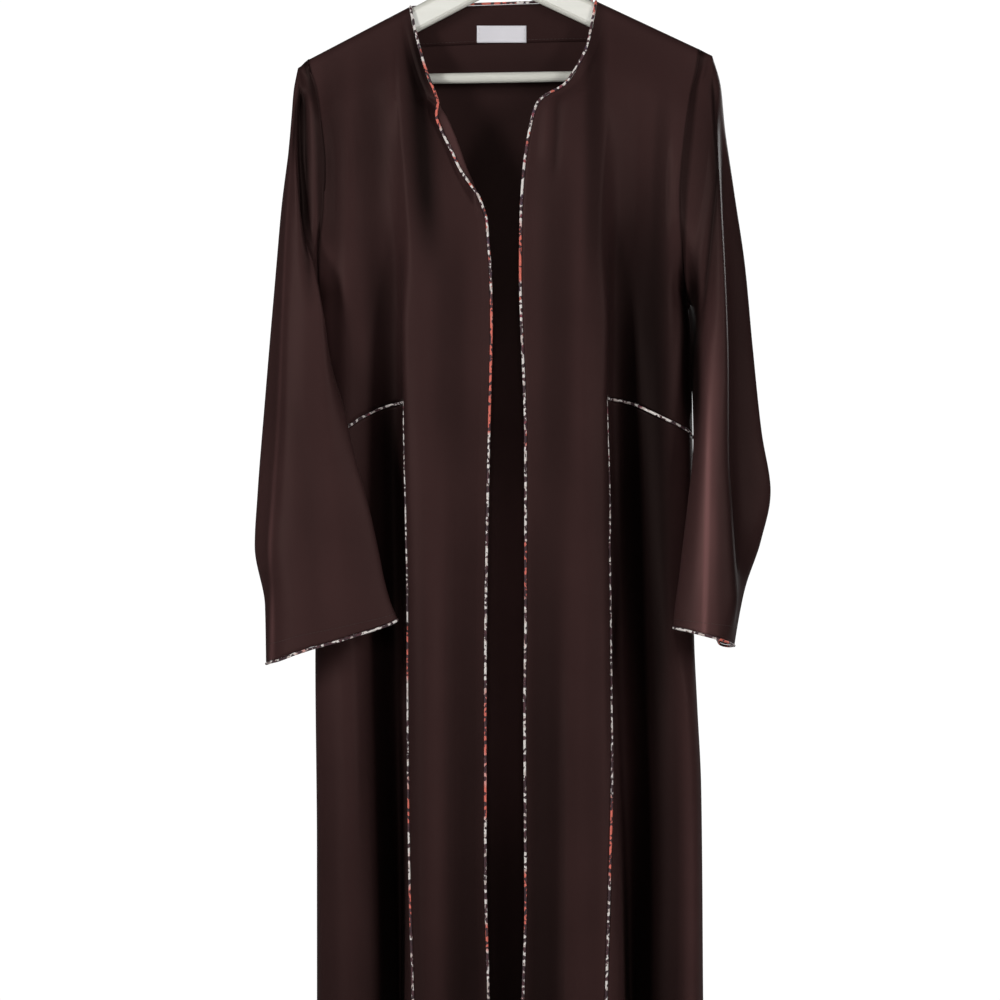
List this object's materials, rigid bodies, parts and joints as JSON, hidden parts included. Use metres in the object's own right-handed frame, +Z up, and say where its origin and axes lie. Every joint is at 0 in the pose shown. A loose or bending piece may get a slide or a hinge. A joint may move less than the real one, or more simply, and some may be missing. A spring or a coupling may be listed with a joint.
{
  "type": "abaya on hanger",
  "caption": "Long loose dark crepe abaya, open down the front, with printed piping, side insets and long set-in sleeves, hanging on a painted wooden hanger.",
  "frame": {"origin": "top of the inside of the hanger's hook, where it rests on the rail", "axes": "+Z up, -Y out of the garment's front, +X to the right as seen from the front (the wearer's left)"},
  "size_m": [0.5172, 0.1421, 1.5399],
  "materials": {
    "abaya_cloth": "matt crepe",
    "piping_print": "printed in several colours",
    "label_satin": "satin, bare",
    "hanger_paint": "off-white paint",
    "hook_steel": "polished"
  },
  "bodies": {
    "root": {"back": "abaya_cloth", "back_neck_facing": "abaya_cloth", "front_left": "abaya_cloth", "front_right": "abaya_cloth", "side_inset_left": "abaya_cloth", "side_inset_right": "abaya_cloth", "sleeve_left": "abaya_cloth", "sleeve_right": "abaya_cloth", "piping_front_left": "piping_print", "piping_front_right": "piping_print", "piping_neck_back": "piping_print", "piping_inset_left": "piping_print", "piping_inset_right": "piping_print", "piping_cuff_left": "piping_print", "piping_cuff_right": "piping_print", "neck_label": "label_satin", "hanger_arms": "hanger_paint", "hanger_bar": "hanger_paint", "hanger_collar": "hook_steel", "hanger_hook": "hook_steel"}
  },
  "joints": []
}
